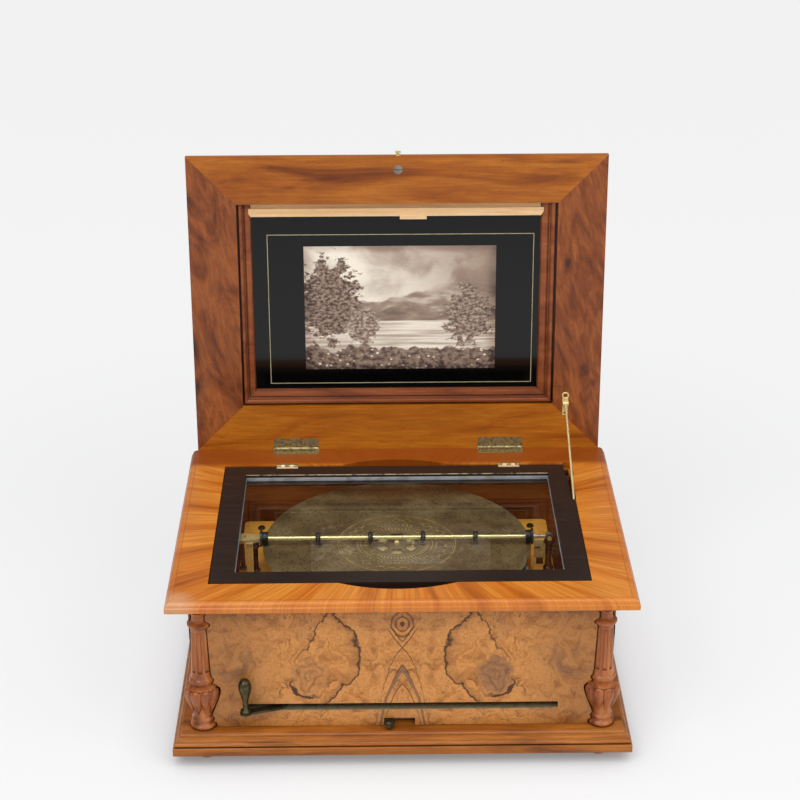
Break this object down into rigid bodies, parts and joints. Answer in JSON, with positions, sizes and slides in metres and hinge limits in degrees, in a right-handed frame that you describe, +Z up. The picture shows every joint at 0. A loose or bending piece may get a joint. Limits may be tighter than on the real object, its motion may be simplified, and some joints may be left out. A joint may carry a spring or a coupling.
{
  "type": "disc music box",
  "caption": "Table-top disc music box in a walnut case with an open picture lid, glazed inner frame, pressure bar, lever-wound spring motor and corner columns.",
  "frame": {"origin": "centre of the standing footprint on the floor, with the lid open", "axes": "+X to the right seen from the front, +Y towards the lid hinges at the back, +Z up"},
  "size_m": [0.498, 0.4174, 0.5672],
  "materials": {
    "case_wood": "french polished walnut",
    "burr_wood": "french polished burr walnut",
    "column_wood": "turned and polished walnut",
    "top_wood": "french polished walnut veneer",
    "lid_wood": "polished walnut",
    "lid_wood_dark": "polished figured walnut",
    "bare_wood": "unfinished light wood",
    "plain_wood": "unfinished softwood",
    "ebonised": "ebonised, satin",
    "pane": "clear polished",
    "black_glass": "black glass, polished",
    "print_paper": "sepia print, satin",
    "old_brass": "aged brass",
    "bright_brass": "polished brass",
    "steel": "ground steel",
    "dark_steel": "darkened steel",
    "disc_steel": "browned steel, satin",
    "gold_iron": "gold painted cast iron",
    "black_iron": "black japanned"
  },
  "bodies": {
    "case": {"feet": "case_wood", "plinth_moulding": "case_wood", "bottom_board": "plain_wood", "front_panel": "burr_wood", "back_panel": "case_wood", "side_panels": "burr_wood", "corner_posts": "burr_wood", "corner_columns": "column_wood", "cornice_moulding": "case_wood", "top_board": "top_wood", "glass_rest_strips": "plain_wood", "hinge_case_leaves": "old_brass", "hinge_pins": "old_brass", "slot_strip": "dark_steel", "bedplate": "gold_iron", "lower_plate": "bright_brass", "movement_pillars": "steel", "movement_screws": "dark_steel", "comb": "steel", "comb_supports": "gold_iron", "pivot_studs": "steel", "bar_pivot_post": "dark_steel", "bar_pivot_pin": "steel", "bar_rest_post": "dark_steel", "bar_catch_spring": "bright_brass"},
    "lid": {"lid_rear_rail": "lid_wood", "lid_front_rail": "lid_wood", "lid_stiles": "lid_wood_dark", "lid_top_panel": "case_wood", "lid_core_board": "plain_wood", "picture_moulding": "lid_wood_dark", "picture_battens": "bare_wood", "picture_mount": "black_glass", "picture_print": "print_paper", "lid_hinge_leaves": "old_brass", "lid_screws": "dark_steel", "lid_knob": "bright_brass", "stay_bracket": "bright_brass"},
    "stay": {"lid_stay_rod": "bright_brass"},
    "glass_frame": {"glass_frame_rails": "ebonised", "glass_frame_stiles": "ebonised", "glass_pane": "pane", "glass_hinge_leaves": "bright_brass"},
    "pressure_bar": {"pressure_bar": "bright_brass", "bar_hinge_end": "steel", "bar_end_plate": "bright_brass"},
    "rollers_left": {"bar_rollers_left": "black_iron"},
    "rollers_right": {"bar_rollers_right": "black_iron"},
    "disc": {"music_disc": "disc_steel", "disc_hub": "bright_brass"},
    "star_wheels": {"star_wheels": "steel"},
    "barrel": {"spring_barrel": "bright_brass"},
    "side_arbor": {"side_arbor": "bright_brass"},
    "fly": {"fly": "bright_brass"},
    "winding_arbor": {"winding_arbor": "steel"},
    "winding_lever": {"winding_lever": "dark_steel", "lever_grip": "dark_steel"},
    "click": {"click": "steel"},
    "stop_lever": {"stop_lever": "steel", "stop_knob": "old_brass"}
  },
  "joints": [
    {"name": "lid_hinge", "type": "hinge", "parent": "case", "child": "lid", "pos_m": [0, 0.15733, 0.2045], "axis": [-1, 0, 0], "range_deg": [-93.6, 0]},
    {"name": "stay_pivot", "type": "hinge", "parent": "lid", "child": "stay", "pos_m": [0.2002, 0.15742, 0.26161], "axis": [-1, 0, 0], "range_deg": [0, 79.6]},
    {"name": "glass_frame_hinge", "type": "hinge", "parent": "case", "child": "glass_frame", "pos_m": [0, 0.11233, 0.2035], "axis": [-1, 0, 0], "range_deg": [0, 85]},
    {"name": "pressure_bar_hinge", "type": "hinge", "parent": "case", "child": "pressure_bar", "pos_m": [0.1683, -0.02567, 0.1814], "axis": [0, 1, 0], "range_deg": [0, 34]},
    {"name": "left_rollers_spin", "type": "hinge", "parent": "pressure_bar", "child": "rollers_left", "pos_m": [-0.0928, -0.02567, 0.1814], "axis": [1, 0, 0], "continuous": true},
    {"name": "right_rollers_spin", "type": "hinge", "parent": "pressure_bar", "child": "rollers_right", "pos_m": [0.0848, -0.02567, 0.1814], "axis": [1, 0, 0], "continuous": true},
    {"name": "disc_spin", "type": "hinge", "parent": "case", "child": "disc", "pos_m": [-0.004, -0.02567, 0.173], "axis": [0, 0, 1], "continuous": true},
    {"name": "star_wheels_spin", "type": "hinge", "parent": "case", "child": "star_wheels", "pos_m": [0.084, -0.02567, 0.1662], "axis": [1, 0, 0], "continuous": true},
    {"name": "barrel_spin", "type": "hinge", "parent": "case", "child": "barrel", "pos_m": [-0.004, -0.02567, 0.09], "axis": [0, 0, 1], "continuous": true},
    {"name": "side_arbor_spin", "type": "hinge", "parent": "case", "child": "side_arbor", "pos_m": [-0.04996, 0.0129, 0.11], "axis": [0, 0, 1], "continuous": true},
    {"name": "fly_spin", "type": "hinge", "parent": "case", "child": "fly", "pos_m": [-0.08872, -0.00121, 0.11], "axis": [0, 0, 1], "continuous": true},
    {"name": "winding_lever_swing", "type": "hinge", "parent": "case", "child": "winding_lever", "pos_m": [-0.004, -0.02567, 0.061], "axis": [0, 0, 1], "range_deg": [0, 87]},
    {"name": "winding_arbor_turn", "type": "hinge", "parent": "case", "child": "winding_arbor", "pos_m": [-0.004, -0.02567, 0.08], "axis": [0, 0, 1], "range_deg": [0, 87]},
    {"name": "click_lift", "type": "hinge", "parent": "case", "child": "click", "pos_m": [0.03, -0.00167, 0.055], "axis": [0, 0, 1], "range_deg": [0, 8]},
    {"name": "stop_lever_swing", "type": "hinge", "parent": "case", "child": "stop_lever", "pos_m": [-0.003, -0.10067, 0.041], "axis": [0, 0, 1], "range_deg": [0, 15]}
  ],
  "couplings": [
    {"joint": "stay_pivot", "follows": "lid_hinge", "ratio": -0.85},
    {"joint": "pressure_bar_hinge", "follows": "glass_frame_hinge", "ratio": 0.4},
    {"joint": "left_rollers_spin", "follows": "disc_spin", "ratio": -11.92},
    {"joint": "right_rollers_spin", "follows": "disc_spin", "ratio": 11.92},
    {"joint": "star_wheels_spin", "follows": "disc_spin", "ratio": -4},
    {"joint": "barrel_spin", "follows": "disc_spin", "ratio": 0.33333},
    {"joint": "side_arbor_spin", "follows": "disc_spin", "ratio": -1},
    {"joint": "fly_spin", "follows": "disc_spin", "ratio": 2.6667},
    {"joint": "winding_arbor_turn", "follows": "winding_lever_swing", "ratio": 1}
  ]
}
